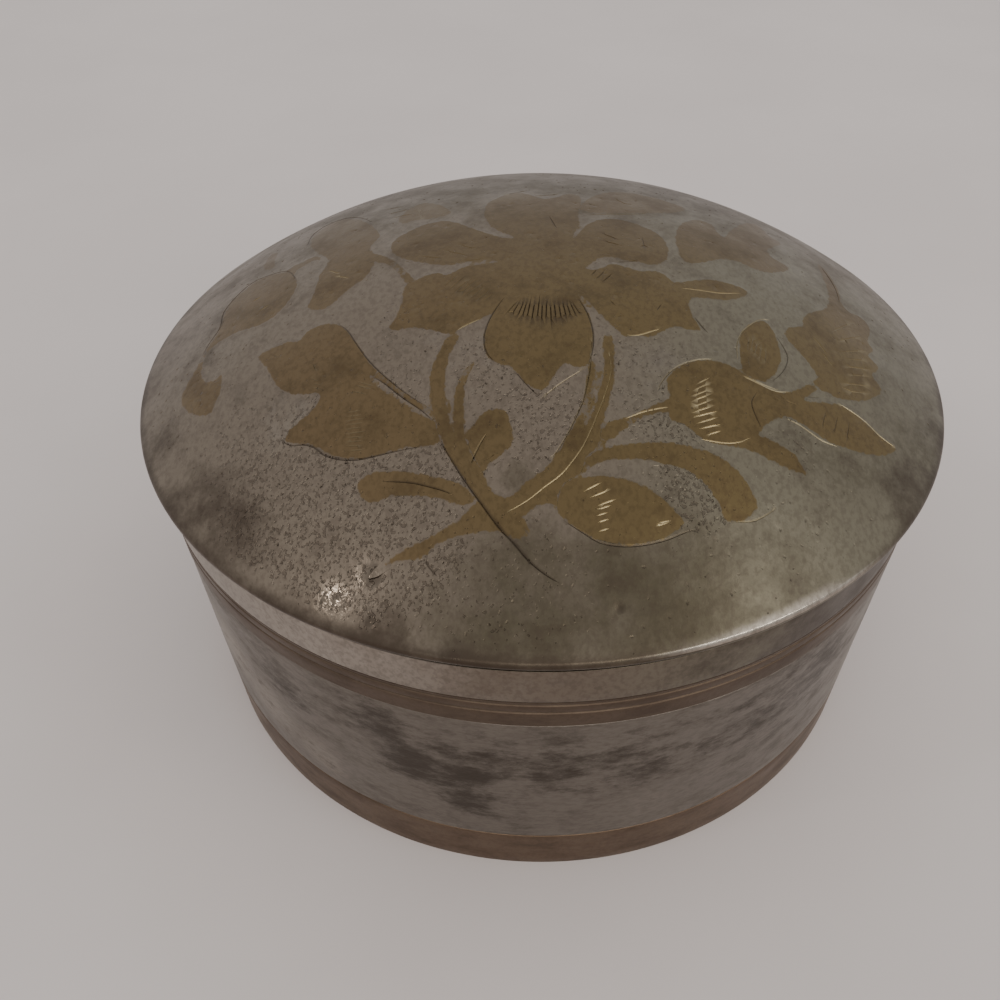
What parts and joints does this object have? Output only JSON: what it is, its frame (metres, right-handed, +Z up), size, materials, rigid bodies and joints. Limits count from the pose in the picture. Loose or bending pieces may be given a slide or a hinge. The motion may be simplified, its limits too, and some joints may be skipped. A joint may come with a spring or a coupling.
{
  "type": "metal trinket box",
  "caption": "Round pewter trinket box with a domed lift-off lid, brass bands and a flower spray of brass inlaid in the lid.",
  "frame": {"origin": "middle of the underside, on the surface the box stands on", "axes": "+Z up along the axis of the round box, -Y towards the front of the flower spray, +X to its right"},
  "size_m": [0.11, 0.11, 0.0651],
  "materials": {
    "pewter": "old pewter, warm grey, pitted and stained, satin where it is rubbed",
    "band_brass": "brown patinated brass, satin",
    "inlay_brass": "olive brown patinated brass with engraved veins, satin"
  },
  "bodies": {
    "root": {"box_body": "pewter", "lid": "pewter", "foot_band": "band_brass", "lid_band": "band_brass", "inlay_flower": "inlay_brass", "inlay_stems": "inlay_brass", "inlay_left_leaf": "inlay_brass", "inlay_small_leaf": "inlay_brass", "inlay_curl_leaf": "inlay_brass", "inlay_lens_leaf": "inlay_brass", "inlay_long_leaf": "inlay_brass", "inlay_right_bud": "inlay_brass", "inlay_oval_bud": "inlay_brass", "inlay_fan_flower": "inlay_brass", "inlay_right_spray": "inlay_brass", "inlay_left_spray": "inlay_brass", "inlay_left_bud": "inlay_brass", "inlay_comma_leaf": "inlay_brass", "inlay_back_left_leaf": "inlay_brass", "inlay_back_right_leaf": "inlay_brass"}
  },
  "joints": []
}
